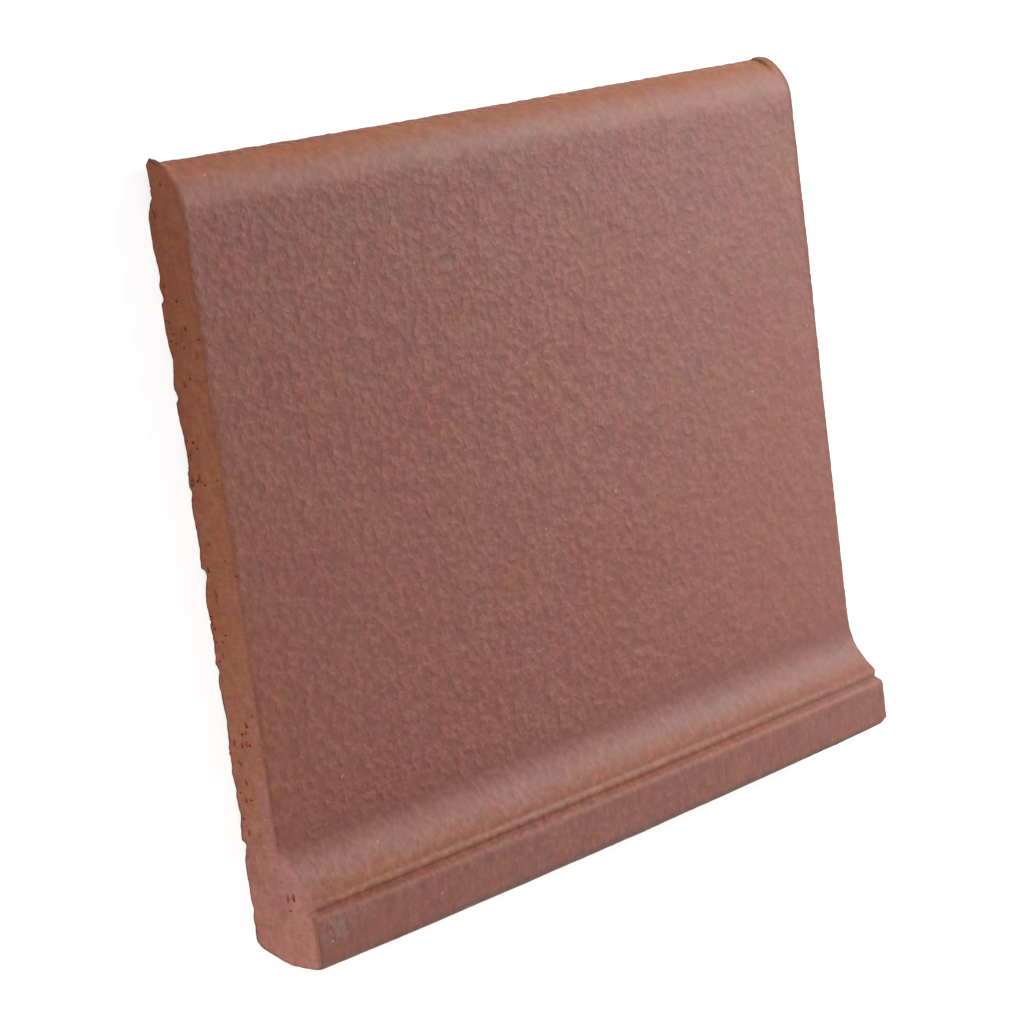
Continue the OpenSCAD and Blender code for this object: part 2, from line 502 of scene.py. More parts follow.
shape.vertices.foreach_set("co", (shape_points * MM).astype(np.float32).ravel())
shape.update()
print(f"fins moved {fins} points, the chip {chips}")

# %% [markdown]
# ## Naming the surfaces
#
# Each surface of the tile has its own texture, so every point is told where it is. The
# numbers are kept in the mesh as named attributes, and both the skin's tree and the finish
# read them: the face, the rounded top, the foot, the torn back, the cut ends and their rim.

# %% Masks as named attributes


def keep(mesh, name, values, domain="POINT"):
    """Stores one number for each point or each face."""
    layer = mesh.attributes.new(name, "FLOAT", domain)
    layer.data.foreach_set("value", np.ascontiguousarray(values, np.float32))


def kept(mesh, name):
    """Reads such numbers back."""
    layer = mesh.attributes[name]
    values = np.empty(len(layer.data), np.float32)
    layer.data.foreach_get("value", values)
    return values


def normals_of(mesh):
    """The smooth normal of each point."""
    out = np.empty(len(mesh.vertices) * 3, np.float32)
    mesh.vertex_normals.foreach_get("vector", out)
    return out.reshape(-1, 3)


facing = normals_of(shape)
x, y, z = shape_points.T
end_gap, end_facing = 0.01, 0.95
back_z, heel_h = 3.2, 3.0
at_end = np.abs(x) > half - end_gap
sideways = np.abs(facing[:, 0]) > end_facing
cut, rim_line = at_end & sideways, at_end & ~sideways
on_back = (z < back_z) & (y > seat_y + heel_h) & ~cut
keep(shape, "cut", cut)
keep(shape, "rim", rim_line)
keep(shape, "back", on_back * ramp(-y, -62.3, -58.5))
keep(shape, "crown", ramp(y, 54, 58.5) * ~on_back)
keep(shape, "foot", ramp(-y, 41, 46) * ~on_back)
keep(shape, "inner", ramp(half - np.abs(x), 0.3, 3.5))
print(f"cut {cut.sum()}, rim {rim_line.sum()}, back {on_back.sum()} points")

# %% [markdown]
# ## The skin
#
# Clay that slides out of a die is dragged a little, and when it dries and is fired it
# wrinkles: low bumps, longer than they are wide, all leaning one way. On the rounded top,
# in the cove and on the toe the die polishes them into faint streaks. The back is torn
# rather than smooth, and the wire leaves fine drag lines on the cut ends.
#
# All of it is noise that pushes each point in or out. The noise is squeezed and turned to
# give it a direction. A sculpted map would do as well for one tile, but noise has no
# seams, and its sizes stay named and easy to change.

# %% Helpers for sums, vectors and noise


def chained(m, operation):
    """A longer sum or product in one call, such as times(a, b, c)."""

    def many(*values):
        out = values[0]
        for value in values[1:]:
            out = m(operation, out, value)
        return out

    return many


def vector_maths(tree):
    """A short way to write sums of vectors in one tree: v("ADD", a, b)."""

    def v(operation, a, b=(0, 0, 0), c=(0, 0, 0), scale=None):
        node = add(tree, "ShaderNodeVectorMath", {0: a, 1: b, 2: c}, operation=operation)
        if scale is not None:
            if isinstance(scale, bpy.types.NodeSocket):
                tree.links.new(scale, node.inputs["Scale"])
            else:
                node.inputs["Scale"].default_value = scale
        return node.outputs[0]

    return v


def noise_at(tree, place, **values):
    """Noise around zero, from -0.5 to 0.5."""
    inputs = {"Vector": place, "Scale": 1.0}
    inputs.update({k.capitalize(): v for k, v in values.items()})
    node = add(tree, "ShaderNodeTexNoise", inputs)
    return maths(tree)("SUBTRACT", node.outputs["Fac"], 0.5)


# %% The inputs of the skin's tree
skin, given, m = new_tree("clay_skin", {
    "Peel depth": "Float", "Peel width": "Float", "Peel length": "Float", "Lean": "Float",
    "Swell depth": "Float", "Swell size": "Float", "Streak depth": "Float",
    "Torn depth": "Float", "Wire depth": "Float", "Wear": "Float",
    "Out of square": "Float", "Foot bow": "Float", "Crown bow": "Float", "Cut bow": "Float",
    "Low": "Vector", "High": "Vector",
})
times, plus = chained(m, "MULTIPLY"), chained(m, "ADD")

# %% Where each point lies
v = vector_maths(skin)
place = add(skin, "GeometryNodeInputPosition").outputs[0]
in_mm = v("SCALE", place, scale=1 / MM)
turned = add(skin, "ShaderNodeVectorRotate", {
    "Vector": in_mm, "Angle": given["Lean"]}, rotation_type="Z_AXIS").outputs[0]


def mask(name):
    """One of the numbers that were kept for each point."""
    node = add(skin, "GeometryNodeInputNamedAttribute", {"Name": name}, data_type="FLOAT")
    return node.outputs["Attribute"]


def sized(place, x, y, z):
    """A place divided by three sizes."""
    return v("DIVIDE", place, add(skin, "ShaderNodeCombineXYZ", {
        "X": x, "Y": y, "Z": z}).outputs[0])


back, cut_end, rim_line = mask("back"), mask("cut"), mask("rim")
crown, foot, inner = mask("crown"), mask("foot"), mask("inner")
not_back = m("SUBTRACT", 1, back)
not_end = m("SUBTRACT", 1, m("ADD", cut_end, rim_line), clamp=True)
front = times(not_back, not_end)

# %% Wrinkles, swells and streaks of the face
crown_polish, foot_polish = 0.96, 0.8
peel = noise_at(skin, sized(turned, given["Peel width"], given["Peel length"], 1.2),
                detail=2.0, roughness=0.55, distortion=0.35)
calm = plus(0.3, times(inner, 0.7))
smooth = m("MAXIMUM", times(crown, crown_polish), times(foot, foot_polish))
polished = times(calm, m("SUBTRACT", 1, smooth))
swell_place = sized(in_mm, given["Swell size"], given["Swell size"], given["Swell size"])
swell = noise_at(skin, swell_place, detail=2.0)
streak = noise_at(skin, sized(in_mm, 0.9, 7.0, 7.0), detail=1.5)
on_front = plus(times(peel, polished, given["Peel depth"]),
                plus(times(swell, given["Swell depth"]),
                     times(streak, m("MAXIMUM", crown, foot), given["Streak depth"])))

# %% Drag of the wire, and the worn rims
wire = noise_at(skin, sized(in_mm, 1.0, 0.7, 5.0), detail=3.0, roughness=0.6)
on_cut = times(m("SUBTRACT", wire, 0.25), given["Wire depth"])
wear_noise = noise_at(skin, sized(in_mm, 1.2, 1.2, 1.2), detail=2.0)
worn = times(m("SUBTRACT", times(wear_noise, 2.2), 0.6), given["Wear"])
worn = times(worn, times(rim_line, not_back))
push = plus(times(on_front, front), plus(times(on_cut, cut_end), worn))
normal = add(skin, "GeometryNodeInputNormal").outputs[0]
moved = v("ADD", place, v("SCALE", normal, scale=times(push, MM)))

# %% The torn back


def map_range(tree, value, start, end, first=0.0, last=1.0, soft=False):
    """A value taken from one range to another and kept inside it; soft eases both ends."""
    return add(tree, "ShaderNodeMapRange", {
        "Value": value, "From Min": start, "From Max": end, "To Min": first, "To Max": last,
    }, interpolation_type="SMOOTHSTEP" if soft else "LINEAR").outputs[0]


torn = noise_at(skin, sized(in_mm, 9.0, 6.5, 9.0), detail=2.0, roughness=0.5, distortion=0.6)
torn_fine = noise_at(skin, sized(in_mm, 2.6, 1.4, 3.0), detail=2.0)
torn_push = times(plus(torn, times(torn_fine, 0.35)), given["Torn depth"])
spot = add(skin, "ShaderNodeSeparateXYZ", {0: moved}).outputs
near_bed = map_range(skin, spot["Z"], 3.2 * MM, 1.2 * MM)
above_heel = map_range(skin, spot["Y"], low.y + 2 * MM, low.y + 6 * MM)
tear = times(times(torn_push, MM), times(near_bed, above_heel))
moved = v("SUBTRACT", moved, add(skin, "ShaderNodeCombineXYZ", {"Z": tear}).outputs[0])

# %% A slight bow, a lack of square, and the box that holds it all
up = m("DIVIDE", m("SUBTRACT", spot["Y"], low.y), high.y - low.y)
down = m("SUBTRACT", 1, up)
across = m("DIVIDE", spot["X"], high.x)
to_end = times(across, across)
to_middle = m("SUBTRACT", 1, to_end)
bow = m("SUBTRACT", times(to_end, down, given["Foot bow"]),
        times(to_middle, up, given["Crown bow"]))
square = times(times(across, down), times(given["Out of square"], -1))
high_up = map_range(skin, up, 0.44, 0.72, soft=True)
by_right = map_range(skin, across, 0.7, 1.0, soft=True)
square = plus(square, times(high_up, by_right, given["Cut bow"]))
bent = v("ADD", moved, v("SCALE", add(skin, "ShaderNodeCombineXYZ", {
    "X": square, "Y": bow}).outputs[0], scale=MM))
boxed = v("MINIMUM", v("MAXIMUM", bent, given["Low"]), given["High"])
fired = add(skin, "GeometryNodeSetPosition", {0: given["Geometry"], "Position": boxed})
close_tree(skin, fired.outputs[0], clay)

# %% Give the bar its skin
wrinkle_lean = math.radians(-28)
cut_bow = 0.3
put_modifier(bar, skin, {
    "Peel depth": 0.58, "Peel width": 2.4, "Peel length": 2.2, "Lean": wrinkle_lean,
    "Swell depth": 0.3, "Swell size": 14.0, "Streak depth": 0.05, "Torn depth": 1.8,
    "Wire depth": 0.12, "Wear": 0.16,
    "Out of square": 0.5, "Foot bow": 0.6, "Crown bow": 0.17, "Cut bow": cut_bow,
    "Low": tuple(low), "High": (high.x + cut_bow * MM, high.y, high.z),
})
settle(bar)
report(bar, "skinned bar")

# %% [markdown]
# ## Thinning the back
#
# The back is bedded in mortar and needs less detail than the face. The Decimate modifier
# merges the shortest edges first. A vertex group holds it to the back, and the face keeps
# every point.

# %% Decimate the back
most_triangles = 176000
group = bar.vertex_groups.new(name="thin")
on_back = kept(bar.data, "back") > 0.5
on_edge = kept(bar.data, "rim") >= 0.5
group.add([int(i) for i in np.nonzero(on_back & ~on_edge)[0]], 1.0, "REPLACE")
triangles = sum(len(p.vertices) - 2 for p in bar.data.polygons)
thin = bar.modifiers.new("thin", "DECIMATE")
thin.vertex_group = "thin"
thin.ratio = min(1.0, most_triangles / triangles)
settle(bar)
bar.vertex_groups.clear()
for point in bar.data.vertices:
    point.co.z = max(point.co.z, low.z)
report(bar, "thinned bar")

# %% [markdown]
# ## Pits in the cut ends
#
# Pressed clay has thin layers, and the wire pulls open small slots between them. They are
# many and alike, so Geometry Nodes scatters them: points on the cut ends, a small stretched
# ball on each one, and one Boolean that takes all the balls out of the clay. Painting dark
# dots would be quicker, but a real hollow keeps its shade from every side.

# %% Where pits may open
pits, given, m = new_tree("open_pits", {
    "Pits per mm2": "Float", "Pit length": "Float", "Pit width": "Float", "Pit depth": "Float",
    "Seed": "Int", "Crease": "Float",
})
times, plus = chained(m, "MULTIPLY"), chained(m, "ADD")
v = vector_maths(pits)
per_mm2 = 1e6
place = add(pits, "GeometryNodeInputPosition").outputs[0]
normal = add(pits, "GeometryNodeInputNormal").outputs[0]
side = add(pits, "ShaderNodeSeparateXYZ", {0: normal}).outputs["X"]
where = add(pits, "ShaderNodeSeparateXYZ", {0: v("SCALE", place, scale=1 / MM)}).outputs
far_out = m("GREATER_THAN", m("ABSOLUTE", where["X"]), half - 0.5)
on_end = times(far_out, m("GREATER_THAN", m("ABSOLUTE", side), 0.9))
towards_back = map_range(pits, where["Z"], 1.0, 7.0, 1.0, 0.35)
above_foot = map_range(pits, where["Y"], -56.0, -38.0, 0.25, 1.0)
in_clusters = noise_at(pits, v("SCALE", place, scale=0.18 / MM), detail=1.0)
in_clusters = m("MULTIPLY", plus(in_clusters, 0.1), 6.0, clamp=True)
spots = add(pits, "GeometryNodeDistributePointsOnFaces", {
    0: given["Geometry"], "Selection": on_end, "Seed": given["Seed"],
    "Density": times(times(given["Pits per mm2"], per_mm2),
                     times(times(towards_back, above_foot), in_clusters)),
}, distribute_method="RANDOM")

# %% The balls that open them


def chance(lowest, highest, seed):
    """A random number for each pit."""
    node = add(pits, "FunctionNodeRandomValue", data_type="FLOAT")
    node.inputs[2].default_value, node.inputs[3].default_value = lowest, highest
    node.inputs["Seed"].default_value = seed
    return node.outputs[1]


mostly_short = m("POWER", chance(0.0, 1.0, 3), 2.2)
ball = add(pits, "GeometryNodeMeshIcoSphere", {"Radius": MM / 2, "Subdivisions": 2})
size = add(pits, "ShaderNodeCombineXYZ", {
    "X": times(given["Pit depth"], chance(0.6, 1.5, 4)),
    "Y": times(given["Pit length"], plus(0.32, mostly_short)),
    "Z": times(given["Pit width"], chance(0.55, 1.25, 5)),
})
lean = add(pits, "ShaderNodeCombineXYZ", {"X": chance(-0.22, 0.22, 6)})
balls = add(pits, "GeometryNodeInstanceOnPoints", {
    0: spots.outputs[0], "Instance": ball.outputs[0],
    "Rotation": lean.outputs[0], "Scale": size.outputs[0]})
loose_balls = add(pits, "GeometryNodeRealizeInstances", {0: balls.outputs[0]})
wobble = add(pits, "ShaderNodeTexNoise", {"Vector": v("SCALE", place, scale=2.2 / MM),
                                          "Scale": 1.0, "Detail": 1.0})
shift = v("SCALE", v("SUBTRACT", wobble.outputs["Color"], (0.5, 0.5, 0.5)), scale=0.35 * MM)
rough_balls = add(pits, "GeometryNodeSetPosition", {0: loose_balls.outputs[0], "Offset": shift})

# %% Take them out of the clay
marked = add(pits, "GeometryNodeStoreNamedAttribute", {
    0: rough_balls.outputs[0], "Name": "pit", "Value": 1.0}, data_type="FLOAT", domain="FACE")
opened = add(pits, "GeometryNodeMeshBoolean", {
    0: given["Geometry"], 1: marked.outputs[0]}, operation="DIFFERENCE", solver="MANIFOLD")
angle = add(pits, "GeometryNodeInputMeshEdgeAngle").outputs[0]
soft = add(pits, "GeometryNodeSetShadeSmooth", {
    0: opened.outputs[0], "Shade Smooth": True}, domain="FACE")
crisp = add(pits, "GeometryNodeSetShadeSmooth", {
    0: soft.outputs[0], "Selection": m("GREATER_THAN", angle, given["Crease"]),
    "Shade Smooth": False}, domain="EDGE")
close_tree(pits, crisp.outputs[0], clay)

put_modifier(bar, pits, {
    "Pits per mm2": 0.20, "Pit length": 1.4, "Pit width": 0.72, "Pit depth": 0.32, "Seed": 7,
    "Crease": math.radians(42),
})
settle(bar)
report(bar, "fired tile")

# %% Tell the raw faces from the skin
mesh = bar.data
end_depth, end_facing = 0.9, 0.8
facing = np.empty(len(mesh.polygons) * 3, np.float32)
mesh.polygons.foreach_get("normal", facing)
middles = np.empty(len(mesh.polygons) * 3, np.float32)
mesh.polygons.foreach_get("center", middles)
in_pit = kept(mesh, "pit")
sideways = np.abs(facing.reshape(-1, 3)[:, 0]) > end_facing
by_the_cut = np.abs(middles.reshape(-1, 3)[:, 0]) / MM > half - end_depth
raw_face = (sideways & by_the_cut) | (in_pit > 0.5)
keep(mesh, "raw", raw_face, domain="FACE")
print(f"raw faces {raw_face.sum()}, in pits {(in_pit > 0.5).sum()}")

# %% [markdown]
# ## The fired colour
#
# The clay is one body, but the kiln did not colour it evenly. The flame turned the crown and
# the edge of the cove orange, and the steam and ash of the firing left a paler, more purple
# bloom. The face lies between the two. Some bands are painted light: the paler bands on the
# lower round and in the middle of the cove are bloom and painted highlight together, the lip
# and the shoulder arris are painted lighter as highlights, and the turn of the cove, the
# bottom arris and the seat are painted darker as shade. The colours follow the section, so a
# colour band runs along the height, and noise bends it a little, because no kiln draws a
# straight line.
#
# A painted image could hold the same bands, but a band of named colours can be tuned one
# surface at a time, and it stays sharp at any distance.

# %% Places, masks and noise for the finish
m, v = maths(clay_nodes), vector_maths(clay_nodes)
times, plus = chained(m, "MULTIPLY"), chained(m, "ADD")
place = v("SCALE", add(clay_nodes, "ShaderNodeTexCoord").outputs["Object"], scale=1 / MM)
spot = add(clay_nodes, "ShaderNodeSeparateXYZ", {0: place}).outputs


def told(name):
    """A number that the mesh carries as a named attribute."""
    return add(clay_nodes, "ShaderNodeAttribute", attribute_name=name).outputs["Fac"]


def between(value, start, end, soft=True):
    """0 at start and 1 at end, eased at both unless soft is False."""
    return map_range(clay_nodes, value, start, end, soft=soft)


def fade(axis, start, end, soft=True):
    """0 at start and 1 at end along one axis, in mm."""
    return between(spot[axis], start, end, soft)


def strip(below, bottom, top, above):
    """1 from bottom to top of a strip along the tile, 0 below it and above it."""
    return times(fade("Y", above, top), fade("Y", below, bottom))


def off(mask):
    """1 where a mask is 0, and 0 where it is 1."""
    return m("SUBTRACT", 1.0, mask)


def spread(x, y, z, **values):
    """Noise around zero at three sizes in mm."""
    return noise_at(clay_nodes, v("DIVIDE", place, (x, y, z)), **values)


cut_side, torn_side, opened_pit = told("raw"), told("back"), told("pit")
on_crown, on_foot = told("crown"), told("foot")
on_polished = m("MAXIMUM", on_crown, on_foot)

# %% The bands along the height
# Painted light in the bands: the lip and the shoulder arris are painted highlights, the middle of
# the cove and the lower round are bloom with painted highlight, and the turn of the cove, the
# bottom arris and the seat are painted shade.
bands = [
    ("seat", -64.0, (0.200, 0.102, 0.086)),
    ("bottom arris", -62.9, (0.196, 0.098, 0.083)),
    ("toe", -62.4, (0.284, 0.111, 0.087)),
    ("toe", -56.2, (0.277, 0.109, 0.087)),
    ("shoulder arris", -55.6, (0.345, 0.144, 0.110)),
    ("shoulder", -55.3, (0.335, 0.130, 0.092)),
    ("shoulder", -54.9, (0.338, 0.124, 0.086)),
    ("quirk", -54.65, (0.290, 0.112, 0.078)),
    ("quirk", -54.45, (0.292, 0.116, 0.082)),
    ("lip", -54.1, (0.365, 0.164, 0.124)),
    ("lip", -53.55, (0.370, 0.160, 0.120)),
    ("line above the lip", -53.15, (0.245, 0.082, 0.053)),
    ("cove edge", -52.8, (0.286, 0.093, 0.057)),
    ("cove edge", -51.9, (0.322, 0.124, 0.084)),
    ("bloom and painted sheen in the cove", -50.4, (0.337, 0.158, 0.128)),
    ("bloom and painted sheen in the cove", -49.0, (0.326, 0.155, 0.132)),
    ("turn of the cove", -46.6, (0.271, 0.109, 0.086)),
    ("turn of the cove", -45.0, (0.246, 0.091, 0.070)),
    ("low face", -42.0, (0.290, 0.108, 0.082)),
    ("middle face", 0.0, (0.283, 0.111, 0.087)),
    ("high face", 53.0, (0.269, 0.114, 0.095)),
    ("below the round", 55.2, (0.288, 0.127, 0.103)),
    ("bloom and painted highlight on the round", 56.9, (0.315, 0.147, 0.118)),
    ("bloom and painted highlight on the round", 58.4, (0.326, 0.154, 0.123)),
    ("crown", 60.4, (0.336, 0.131, 0.088)),
    ("crown", 61.6, (0.325, 0.109, 0.052)),
]
print(f"colour bands: {len(bands)}")

# %% Lay the bands over the tile
foot_y, top_y = bands[0][1], 64.0
most_wander, held_at_lip = 2.6, 0.93


def banded(height, bands, start, end):
    """The colour at a height, from bands of (name, height, colour) between start and end."""
    node = add(clay_nodes, "ShaderNodeValToRGB", {
        "Fac": between(height, start, end, soft=False)})
    stops = node.color_ramp.elements
    while len(stops) < len(bands):
        stops.new(0.5)
    for stop, (_, y, _) in zip(stops, bands):
        stop.position = (y - start) / (end - start)
    for stop, (_, _, colour) in zip(stops, bands):
        stop.color = (*colour, 1.0)
    return node.outputs["Color"]


wander = times(spread(5.0, 9.0, 9.0, detail=3.0, roughness=0.6), most_wander)
steady_lip = off(times(fade("Y", -51.4, -52.8), held_at_lip))
colour_band = banded(plus(spot["Y"], times(wander, steady_lip)), bands, foot_y, top_y)

# %% [markdown]
# ## Clouds, smoke with painted light, and creases with painted shade
#
# Over the bands lie clouds of colour: olive where the fire was short of air, rose and orange
# where it was not. Smoke left its tint from one end to the other, another one on the face
# than in the cove, and the face's paler, whiter right end is painted light as well. The
# finest layer follows the wrinkles: their creases are painted darker and their ridges paler,
# painted shade and painted highlight, and both are too fine to be left to the mesh.

# %% Noise for clouds, wrinkles and streaks
broad = spread(38.0, 30.0, 30.0, detail=2.0)
patch = spread(9.0, 12.0, 12.0, detail=3.0, roughness=0.6, distortion=0.5)
small = spread(2.8, 3.4, 3.4, detail=3.0, roughness=0.6)
streak = spread(0.55, 5.0, 5.0, detail=2.0)
leant = add(clay_nodes, "ShaderNodeVectorRotate", {
    "Vector": place, "Angle": wrinkle_lean}, rotation_type="Z_AXIS").outputs[0]
wrinkle = noise_at(clay_nodes, v("DIVIDE", leant, (1.42, 1.32, 1.4)),
                   detail=1.8, roughness=0.40, distortion=0.2)
fine = noise_at(clay_nodes, v("DIVIDE", leant, (0.5, 0.65, 0.5)), detail=1.5, roughness=0.5)

# %% Warm and olive clouds


def blend(share, below, above, kind="MIX"):
    """One colour over another by a share from 0 to 1. A colour is a socket or (r, g, b)."""
    below, above = ((*c, 1.0) if isinstance(c, tuple) else c for c in (below, above))
    return add(clay_nodes, "ShaderNodeMix", {0: share, 6: below, 7: above},
               data_type="RGBA", blend_type=kind).outputs[2]


def tinted(share, below, tint):
    """A colour multiplied by a tint, by a share from 0 to 1."""
    return blend(share, below, tint, "MULTIPLY")


to_left = fade("X", 45.0, -80.0)
warm = plus(times(broad, 1.5), times(patch, 1.2), times(small, 0.5), times(to_left, 0.45))
flashed = blend(between(warm, -0.45, 0.75, soft=False), (0.97, 1.02, 1.06), (1.02, 0.94, 0.84))
colour = tinted(1.0, colour_band, flashed)
starved = plus(spread(11.0, 13.0, 13.0, detail=3.0, roughness=0.6), times(small, 0.3))
short_of_air = between(starved, 0.02, 0.30)
colour = tinted(times(short_of_air, 0.5), colour, (0.93, 1.03, 0.90))

# %% Smoke and painted light, from the right end to the left
leftwards = fade("X", 76.0, -76.0, soft=False)
in_cove = strip(-54.6, -53.8, -47.0, -43.5)
on_toe = fade("Y", -54.6, -55.6)
crown_spared, toe_spared = 0.8, 0.55
# The face runs from paler and whiter at the right end to darker and redder at the left: partly
# smoke, partly painted light and sheen falling from the right.
smoke_and_painted_light = blend(leftwards, (1.04, 1.075, 1.085), (0.860, 0.750, 0.700))
cove_smoked = blend(leftwards, (0.985, 1.02, 1.04), (1.06, 0.97, 0.93))
crown_smoked = blend(leftwards, (1.0, 1.04, 1.045), (1.085, 1.045, 0.995))
smoke_share = off(m("MAXIMUM", times(on_crown, crown_spared), times(on_toe, toe_spared)))
colour = tinted(smoke_share, colour, blend(in_cove, smoke_and_painted_light, cove_smoked))
colour = tinted(fade("Y", 58.2, 60.5), colour, crown_smoked)

rightmost = fade("X", 30.0, 72.0)
# The lip is painted lighter at both ends: a painted highlight.
lip_highlight_left = times(leftwards, leftwards, strip(-54.4, -53.6, -52.3, -51.0))
colour = tinted(lip_highlight_left, colour, (1.10, 1.25, 1.21))
lip_highlight_right = times(rightmost, strip(-53.9, -53.5, -53.0, -52.5))
colour = tinted(lip_highlight_right, colour, (1.15, 1.20, 1.21))
under_it = times(rightmost, strip(-55.2, -54.9, -54.2, -53.8))
colour = tinted(under_it, colour, (0.95, 0.995, 1.08))

# %% Mottling


def mottled(size, strength, detail=5.0):
    """Factors around one for red, green and blue, each from its own noise."""
    noise = add(clay_nodes, "ShaderNodeTexNoise", {
        "Vector": v("DIVIDE", place, size), "Scale": 1.0, "Detail": detail,
        "Roughness": 0.68, "Distortion": 0.4}).outputs["Color"]
    return v("MULTIPLY_ADD", v("SUBTRACT", noise, (0.5, 0.5, 0.5)), strength, (1.0, 1.0, 1.0))


calmer = plus(0.35, times(fade("X", -10.0, 60.0), 0.3))
lively = off(times(fade("Y", 20.0, -25.0), calmer))
colour = tinted(lively, colour, mottled((8.6, 9.2, 8.6), (0.10, 0.50, 0.46), detail=3.4))
specks = between(spread(3.6, 4.2, 4.0, detail=3.0, roughness=0.6, distortion=0.5), 0.02, 0.22)
low_and_left = times(leftwards, fade("Y", 20.0, -40.0), 1.2)
olive = times(specks, plus(0.2, low_and_left), lively)
colour = tinted(olive, colour, (0.95, 1.0, 0.84))

# %% Creases: painted shade in them, painted highlight on the ridges, and grain
boldest, crease_shade, grain_shade, fine_shade = 1.6, 0.50, 0.44, 0.04
comb_on_polish, comb_on_toe = 0.12, 0.30
to_right = fade("X", -10.0, 75.0, soft=False)
on_low_face = strip(-48.0, -42.0, -38.0, 10.0)
low_share = m("SUBTRACT", 0.10, times(fade("X", -60.0, 60.0, soft=False), 0.25))
boldness = m("SUBTRACT", boldest, times(to_right, 0.76))
boldness = plus(boldness, times(on_low_face, low_share))
ridged = times(wrinkle, plus(1.0, times(wrinkle, 0.9)))
# The ridges are painted paler and the creases darker, painted highlight and painted shade, and
# grain and streaks are added on top.
painted_relief_and_grain = times(ridged, boldness, m("SUBTRACT", crease_shade, times(on_polished, 0.08)))
comb = plus(times(on_polished, comb_on_polish), times(on_toe, comb_on_toe))
painted_relief_and_grain = plus(painted_relief_and_grain, times(plus(streak, times(fine, 0.6)), comb))
small_share = m("SUBTRACT", grain_shade, times(on_low_face, 0.24))
painted_relief_and_grain = plus(painted_relief_and_grain, plus(times(small, small_share), times(fine, fine_shade)))
colour = v("SCALE", colour, scale=plus(painted_relief_and_grain, 1.0))

# %% [markdown]
# ## The raw sides
#
# The cut ends never touched the die. They show the clay's own orange-brown, browner towards
# the crown and lighter towards the foot, partly the clay and partly painted light from below,
# with darker slots where layers parted. Along the face runs a thin dark line, partly skin
# dragged over the edge and partly painted shade along the arris. The strip below the face's
# edge, the rim along the toe and the fins are painted darker as shade. The torn back and the
# pits hold the most ash.

# %% The clay of the cut ends
# The cut ends get lighter towards the foot: partly the clay's colour, partly painted light from
# below.
raw_bands = [
    ("heel and toe", -60.0, (0.450, 0.172, 0.136)),
    ("foot", -48.0, (0.416, 0.155, 0.122)),
    ("low leg", -25.0, (0.385, 0.134, 0.079)),
    ("middle of the leg", 0.0, (0.360, 0.116, 0.061)),
    ("high leg", 45.0, (0.325, 0.095, 0.049)),
]
cloud_reach, drag_shade, mottle_shade = 60.0, 0.50, 0.80
drag = spread(3.0, 0.55, 2.6, detail=3.0, roughness=0.65)
mottle = spread(2.6, 2.0, 1.3, detail=3.0, roughness=0.6, distortion=0.6)
clouded = plus(spot["Y"], times(spread(9.0, 6.0, 4.0, detail=3.0), cloud_reach))
raw = banded(clouded, raw_bands, foot_y, raw_bands[-1][1])
raw = tinted(between(mottle, -0.15, 0.2), raw, (0.93, 1.05, 0.98))
shade = plus(times(drag, drag_shade), times(mottle, mottle_shade))
raw = v("SCALE", raw, scale=plus(1.0, shade))
less_at_foot = plus(0.3, times(fade("Y", -54.0, -36.0), 0.7))
raw = tinted(less_at_foot, raw, mottled((1.7, 2.0, 1.4), (0.35, 0.85, 1.10)))

# %% The rims of the cut ends
on_rim = between(told("rim"), 0.35, 0.85)
to_bed = times(on_rim, fade("Z", 4.0, 2.5))
raw = blend(times(to_bed, 0.75), raw, (0.110, 0.040, 0.030))
# A thin strip of the cut end just below the face's edge is painted darker: painted shade along the
# arris.
face_edge_shade = times(fade("Z", 7.0, 7.8), fade("Y", -47.0, -43.0))
raw = blend(times(face_edge_shade, 0.3), raw, (0.150, 0.052, 0.036))
near_the_face = times(fade("Z", 4.2, 7.0), strip(-57.0, -50.0, -12.0, 12.0))
raw = tinted(near_the_face, raw, (1.01, 1.02, 1.14))
by_the_toe = times(fade("Z", 13.2, 13.7), fade("Y", -54.5, -55.6))
raw = blend(times(by_the_toe, 0.75), raw, (0.265, 0.108, 0.070))
# The rim of the cut end along the toe is painted dark: a painted shadow line along the arris.
raw = blend(times(on_rim, on_toe, 0.6), raw, (0.120, 0.050, 0.036))

# %% Bloom and a dark line along the cut edges
bloom_reach, line_reach, wiped_reach = 3.2, 1.55, 3.2
bloom_share, line_share = 0.34, 0.42
outwards = m("ABSOLUTE", spot["X"])
ragged = plus(outwards, times(spread(1.2, 2.2, 2.2, detail=3.0), 1.6))
bloomed = plus(outwards, times(spread(2.2, 3.4, 3.4, detail=3.0), 4.5))
edge_bloom = times(between(bloomed, half - bloom_reach, half - 0.5),
                   off(fade("Y", 12.0, -22.0)), fade("Y", 59.0, 55.0))
bloom = m("SUBTRACT", bloom_share, times(fade("Y", 48.0, 30.0), 0.2))
colour = blend(times(edge_bloom, bloom), colour, (0.300, 0.145, 0.114))

# The dark line along the face's cut edges is partly skin dragged over the edge and partly painted
# shade along the arris.
line_start = plus(half - line_reach, times(fade("Y", 38.0, 50.0), 0.5))
off_the_cove = m("MAXIMUM", fade("Y", -47.0, -43.0), fade("Y", -54.8, -55.4))
darker_upwards = plus(line_share, times(fade("Y", -5.0, 45.0, soft=False), 0.4))
dark_line = times(between(ragged, line_start, half - 0.2), off_the_cove, darker_upwards)
colour = tinted(dark_line, colour, (0.72, 0.50, 0.40))
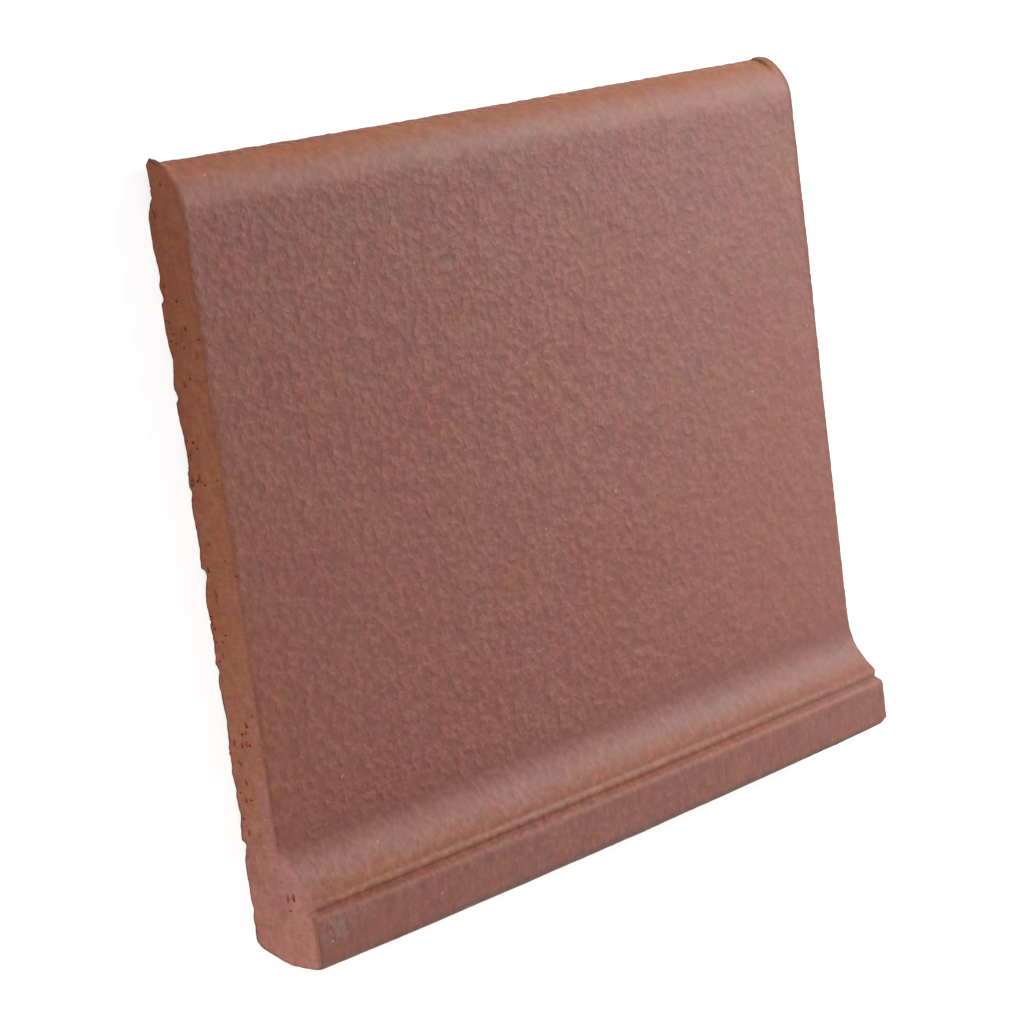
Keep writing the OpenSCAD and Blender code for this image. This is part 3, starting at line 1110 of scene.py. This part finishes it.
# On the toe the face is painted dark right at the cut edge: painted shade along the arris.
toe_arris_shade = times(between(ragged, half - 0.8, half - 0.2), on_toe, 0.8)
colour = blend(toe_arris_shade, colour, (0.120, 0.048, 0.036))
wiped = times(between(ragged, half - wiped_reach, half - 0.9),
              strip(-55.5, -54.9, -47.0, -43.5), fade("X", 0.0, -10.0))
colour = blend(times(wiped, 0.85), colour, raw)

# %% Torn back, cut ends, pits and fins


def length_of(way):
    """How long a vector is."""
    return add(clay_nodes, "ShaderNodeVectorMath", {0: way}, operation="LENGTH").outputs["Value"]


torn = blend(between(patch, -0.15, 0.15), (0.25, 0.095, 0.062), (0.20, 0.075, 0.052))
torn = v("SCALE", torn, scale=plus(1.0, times(small, 0.7)))
colour = blend(torn_side, colour, torn)
colour = blend(cut_side, colour, raw)
colour = blend(times(opened_pit, 0.9), colour, (0.300, 0.062, 0.028))

hub = (0, round_centre.y, round_centre.z)
from_hub = length_of(v("MULTIPLY", v("SUBTRACT", place, hub), (0, 1, 1)))
# The fins are painted dark brown: painted shade, as they stand in the shade of the end.
shaded_fin = times(between(from_hub, round_r + 0.2, round_r + 0.6), fade("Y", 57.0, 60.0),
               between(outwards, half - 4.0, half - 3.0))
colour = blend(times(shaded_fin, 0.58), colour, (0.125, 0.052, 0.036))

# %% [markdown]
# ## Ash and pale grains
#
# A smear of kiln ash lies on the left end of the toe, and a few pale grains of grog break
# the skin here and there. Voronoi cells scatter the grains: each cell has one, and only a
# few cells are let through.

# %% Ash
toe_z = 14.4


def around(x, y, reach):
    """Distance from a place on the toe, divided by a reach along each axis."""
    return length_of(v("DIVIDE", v("SUBTRACT", place, (x, y, toe_z)), reach))


speckle = spread(0.7, 0.7, 0.7, detail=2.0, roughness=0.6)
smears = m("MINIMUM", around(-72.0, -57.4, (4.2, 3.2, 4.0)), around(-65.8, -56.7, (3.0, 1.5, 3.0)))
smears = plus(smears, times(small, 0.8))
ash = times(between(smears, 1.2, 0.1), between(speckle, -0.10, 0.10), off(cut_side))
colour = blend(times(ash, 0.6), colour, (0.325, 0.200, 0.168))

# %% Pale grains
cell_size, left_empty, largest_grain = 4.6, 0.60, 0.078
cells = add(clay_nodes, "ShaderNodeTexVoronoi", {
    "Vector": v("DIVIDE", place, (cell_size,) * 3), "Scale": 1.0, "Randomness": 1.0}).outputs
draw = add(clay_nodes, "ShaderNodeSeparateColor", {0: cells["Color"]}).outputs[0]
grain_size = times(between(draw, left_empty, 1.0, soft=False), largest_grain)
grain = m("LESS_THAN", cells["Distance"], grain_size)
for x, y in ((-72.9, -59.4), (-47.8, -59.3)):
    grain = m("MAXIMUM", grain, m("LESS_THAN", around(x, y, (0.33, 0.28, 0.6)), 1.0))
grain = times(grain, off(torn_side))
colour = blend(times(grain, 0.45), colour, (0.50, 0.36, 0.29))

# %% [markdown]
# ## The surface
#
# Unglazed clay is matt, with only a faint sheen where the die polished it. The mesh carries
# the wrinkles that the eye can count. The bump adds what lies between its points: the fine
# end of the same wrinkles, the grain of the clay, and the drag of the wire on the ends.

# %% Roughness, relief and the shader
crease_mm, streak_mm, drag_mm, fine_mm = 0.34, 0.05, 0.05, 0.08
matt, uneven, matt_when_raw = 0.66, 0.16, 0.2
smoothed = m("MAXIMUM", times(on_crown, 0.93), times(on_foot, 0.52))
skin_height = plus(times(ridged, boldness, crease_mm, off(smoothed)),
                   times(streak, on_polished, streak_mm))
raw_height = plus(times(drag, drag_mm), times(fine, fine_mm))
height_mm = plus(times(skin_height, off(cut_side)), times(raw_height, cut_side))
bump = add(clay_nodes, "ShaderNodeBump", {"Height": height_mm, "Distance": MM, "Strength": 1.0})
no_skin = m("MAXIMUM", cut_side, torn_side)
rough = plus(matt, times(small, uneven), times(no_skin, matt_when_raw))
shader = add(clay_nodes, "ShaderNodeBsdfPrincipled", {
    "Base Color": colour, "Roughness": rough, "Specular IOR Level": 0.4,
    "Normal": bump.outputs[0]})
clay_nodes.links.new(shader.outputs[0], clay_surface)
print(f"finish: {len(clay_nodes.nodes)} nodes")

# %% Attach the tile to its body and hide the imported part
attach(bar, "root")
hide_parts("cove_base_tile")
